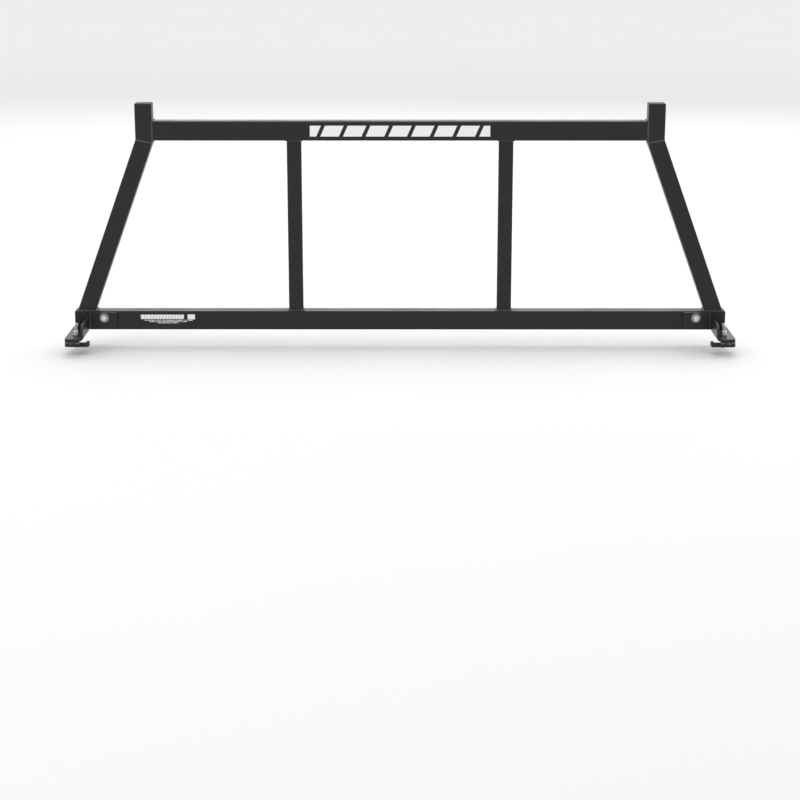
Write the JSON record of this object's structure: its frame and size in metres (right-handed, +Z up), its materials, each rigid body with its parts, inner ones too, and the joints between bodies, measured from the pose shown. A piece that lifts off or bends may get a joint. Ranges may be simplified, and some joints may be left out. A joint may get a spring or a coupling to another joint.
{
  "type": "truck bed headache rack",
  "caption": "Welded steel tube frame that guards a pickup cab's rear window, on bent plate side brackets clamped into the bed rails' stake pockets.",
  "frame": {"origin": "centre of the rectangle of four free bolt holes in the two base flanges, on the plane of the bed rails under the rubber pads", "axes": "+X to the truck's right, along the rails; +Y forward to the cab; +Z up, away from the bed rails"},
  "size_m": [1.769, 0.1735, 0.6345],
  "materials": {
    "frame_coat": "satin black textured powder coat",
    "bracket_coat": "satin black powder coat",
    "zinc_hardware": "bright zinc plate",
    "black_plastic": "moulded polyethylene",
    "pad_rubber": "black sheet rubber",
    "reflective_film": "white retroreflective film with a cell pattern",
    "label_film": "pale printed film with plain bars"
  },
  "bodies": {
    "rack": {"top_rail": "frame_coat", "bottom_rail": "frame_coat", "leg_left": "frame_coat", "leg_right": "frame_coat", "ear_left": "frame_coat", "ear_right": "frame_coat", "post_left": "frame_coat", "post_right": "frame_coat", "ear_cap_left": "black_plastic", "ear_cap_right": "black_plastic", "rail_cap_left": "black_plastic", "rail_cap_right": "black_plastic", "bracket_left": "bracket_coat", "bracket_right": "bracket_coat", "pad_left": "pad_rubber", "pad_right": "pad_rubber", "rail_bolts": "zinc_hardware", "rail_washers": "zinc_hardware", "rail_lock_nuts": "zinc_hardware", "crush_sleeves": "zinc_hardware", "clamp_washers": "zinc_hardware", "clamp_lock_washers": "zinc_hardware", "reflective_strip": "reflective_film", "rail_label": "label_film"},
    "left_clamp": {"clamp_bolt_left": "zinc_hardware", "clamp_plate_left": "bracket_coat"},
    "right_clamp": {"clamp_bolt_right": "zinc_hardware", "clamp_plate_right": "bracket_coat"},
    "left_nut": {"clamp_nut_left": "zinc_hardware"},
    "right_nut": {"clamp_nut_right": "zinc_hardware"}
  },
  "joints": [
    {"name": "left_clamp_drop", "type": "slide", "parent": "rack", "child": "left_clamp", "axis": [0, 0, -1], "range_m": [0, 0.015]},
    {"name": "right_clamp_drop", "type": "slide", "parent": "rack", "child": "right_clamp", "axis": [0, 0, -1], "range_m": [0, 0.015]},
    {"name": "left_nut_turn", "type": "hinge", "parent": "rack", "child": "left_nut", "pos_m": [-0.8525, 0, 0.018], "axis": [0, 0, 1], "range_deg": [0, 3402]},
    {"name": "right_nut_turn", "type": "hinge", "parent": "rack", "child": "right_nut", "pos_m": [0.8525, 0, 0.018], "axis": [0, 0, 1], "range_deg": [0, 3402]}
  ],
  "couplings": [
    {"joint": "left_nut_turn", "follows": "left_clamp_drop", "rad_per_m": 3957.9},
    {"joint": "right_nut_turn", "follows": "right_clamp_drop", "rad_per_m": 3957.9}
  ]
}
